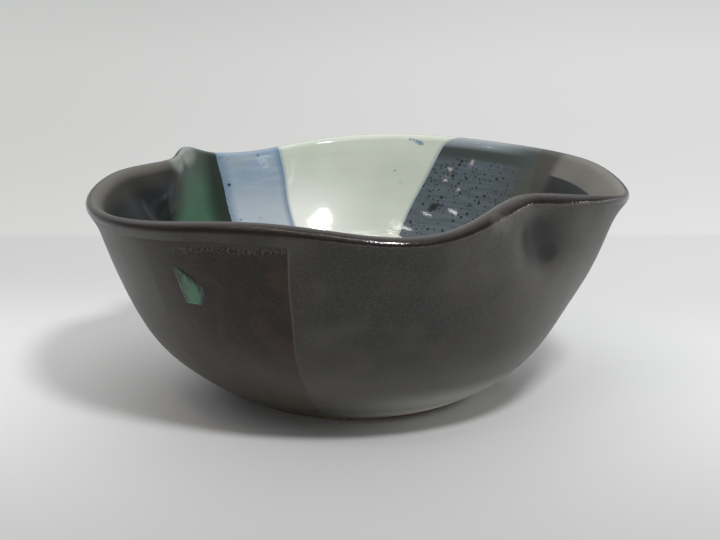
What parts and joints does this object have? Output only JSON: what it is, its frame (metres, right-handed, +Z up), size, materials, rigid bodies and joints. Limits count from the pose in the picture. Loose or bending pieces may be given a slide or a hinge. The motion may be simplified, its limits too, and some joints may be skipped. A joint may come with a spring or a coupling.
{
  "type": "hand-altered pottery bowl",
  "caption": "Wheel-thrown stoneware bowl with a pinched, undulating rim and drawn-out lobes, dark iron glaze outside and poured fans of pale and green glaze inside.",
  "frame": {"origin": "centre of the turned foot, on the surface that it stands on, which is within about a millimetre of the middle of the whole bowl seen from above", "axes": "+Z up, out of the bowl's mouth; +X towards the right-hand lobe as the picture shows it; +Y away from the picture's camera"},
  "size_m": [0.1676, 0.1627, 0.0715],
  "materials": {
    "clay_body": "bare fired stoneware, brown, matte",
    "outer_iron_glaze": "gunmetal iron glaze, satin",
    "iron_overlap_panel": "second pour of iron glaze, brown-black, satin, mottled",
    "green_splash": "streaky green splash, glossy",
    "liner_white": "white to pale celadon glaze, glossy",
    "liner_blue_left": "pale blue-grey glaze with dark specks, glossy",
    "liner_green": "dark green glaze, glossy",
    "liner_blue_right": "slate blue glaze with dark specks, glossy",
    "liner_iron": "grey-black iron glaze, satin"
  },
  "bodies": {
    "root": {"clay_body": "clay_body", "outer_iron_glaze": "outer_iron_glaze", "iron_overlap_panel": "iron_overlap_panel", "green_splash": "green_splash", "liner_white": "liner_white", "liner_blue_left": "liner_blue_left", "liner_green": "liner_green", "liner_blue_right": "liner_blue_right", "liner_iron": "liner_iron"}
  },
  "joints": []
}
